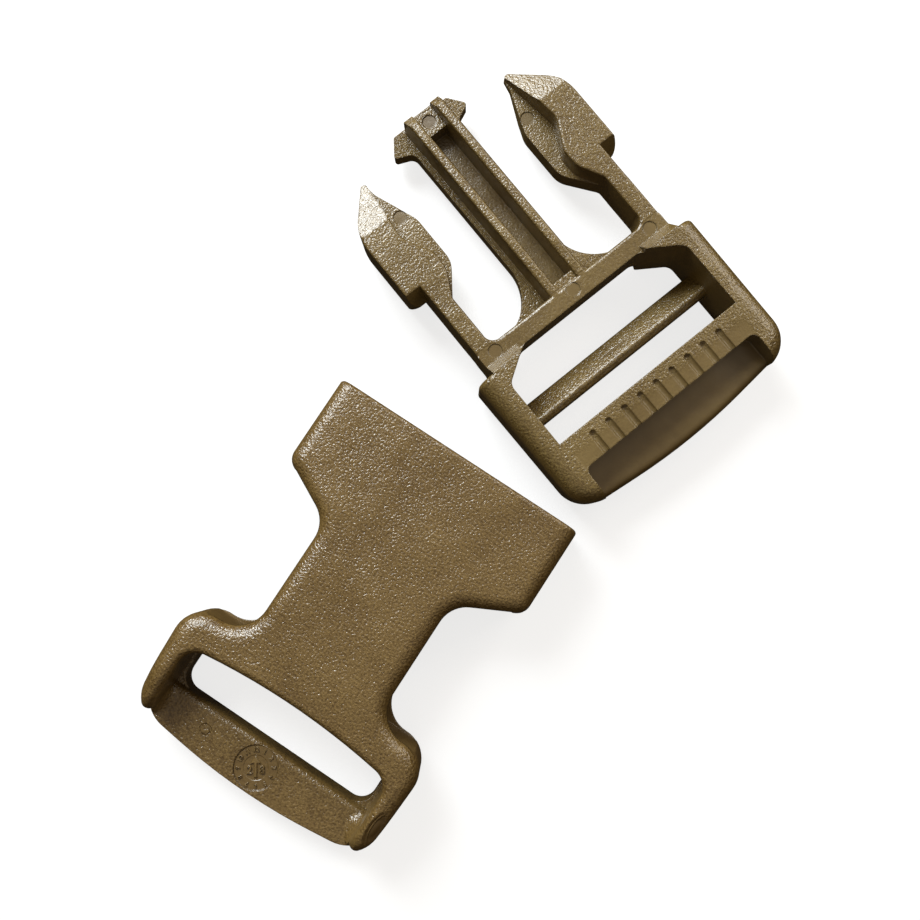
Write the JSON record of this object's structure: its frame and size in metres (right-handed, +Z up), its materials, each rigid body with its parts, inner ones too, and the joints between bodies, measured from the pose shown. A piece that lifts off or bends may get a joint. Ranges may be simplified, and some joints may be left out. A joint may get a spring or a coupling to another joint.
{
  "type": "side release buckle",
  "caption": "Side-release buckle for webbing, unfastened: a hollow socket with a sewn-in loop and a plug with sprung prongs, a guide and a ladder-lock frame.",
  "frame": {"origin": "on the surface that the buckle lies on, under the middle of its bounding box", "axes": "+Z up out of that surface, +Y along the longer side of the pair as they lie, +X to the right"},
  "size_m": [0.0732, 0.091, 0.0082],
  "materials": {
    "acetal": "satin, moulded with a fine spark-eroded grain"
  },
  "bodies": {
    "halves": {"socket_body": "acetal", "plug_frame": "acetal"},
    "prong_right": {"prong_right": "acetal"},
    "prong_left": {"prong_left": "acetal"}
  },
  "joints": [
    {"name": "prong_right_flex", "type": "hinge", "parent": "halves", "child": "prong_right", "pos_m": [0.02019, 0.02894, 0.0041], "axis": [0, 0, 1], "range_deg": [0, 8], "stiffness_Nm_per_rad": 1},
    {"name": "prong_left_flex", "type": "hinge", "parent": "halves", "child": "prong_left", "pos_m": [0.00055, 0.01314, 0.0041], "axis": [0, 0, -1], "range_deg": [0, 8], "stiffness_Nm_per_rad": 1}
  ]
}
